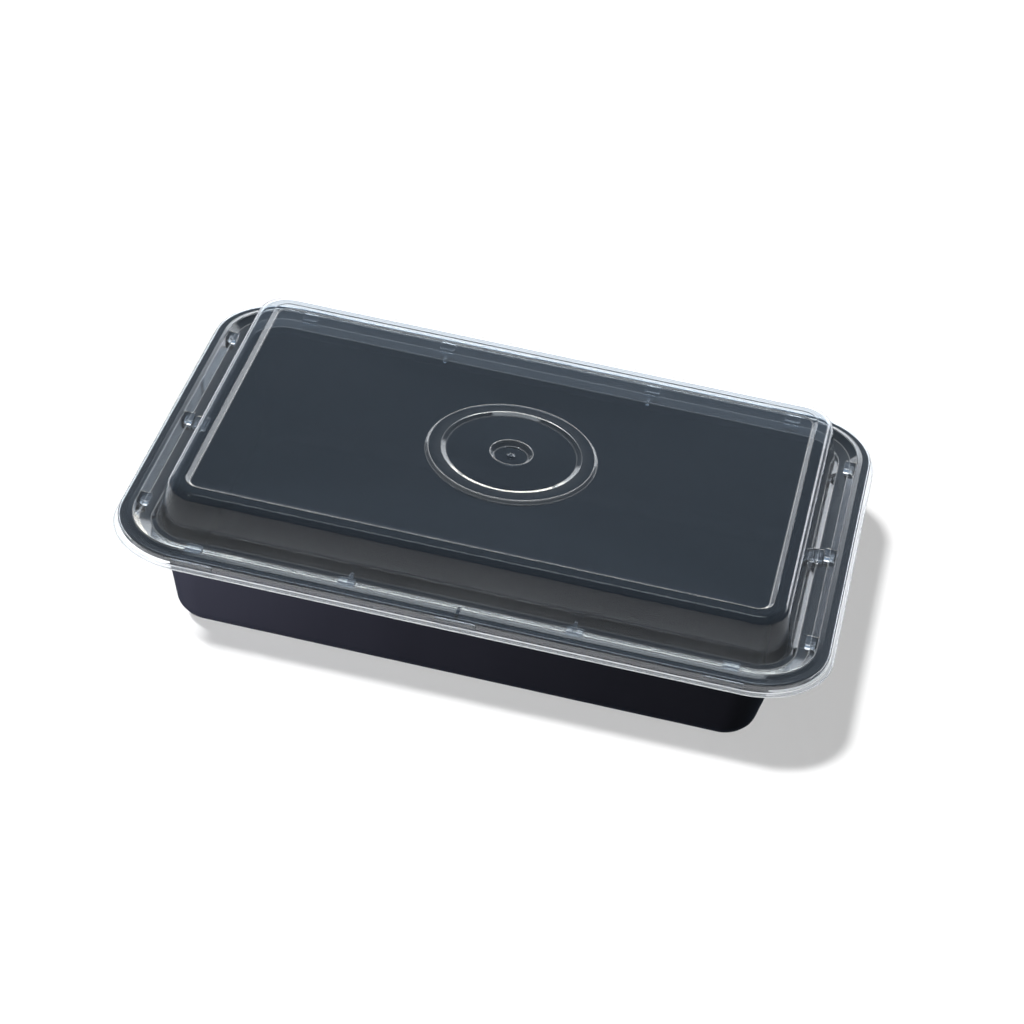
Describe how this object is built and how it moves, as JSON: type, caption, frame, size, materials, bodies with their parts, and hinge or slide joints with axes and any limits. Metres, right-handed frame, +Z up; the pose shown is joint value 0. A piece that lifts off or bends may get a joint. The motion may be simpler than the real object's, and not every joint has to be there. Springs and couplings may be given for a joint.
{
  "type": "takeaway meal container",
  "caption": "Rectangular black microwave meal tray with rounded corners, shut with a clear domed press-on lid that has a raised ring in its top panel.",
  "frame": {"origin": "centre of the tray's underside, on the surface that the container stands on", "axes": "+X along the length, +Y across the width, +Z up through the lid"},
  "size_m": [0.2204, 0.151, 0.0507],
  "materials": {
    "black_plastic": "black moulded polypropylene, satin with a soft sheen",
    "clear_plastic": "clear moulded polypropylene, glossy with a faint haze"
  },
  "bodies": {
    "root": {"tray": "black_plastic", "lid": "clear_plastic"}
  },
  "joints": []
}
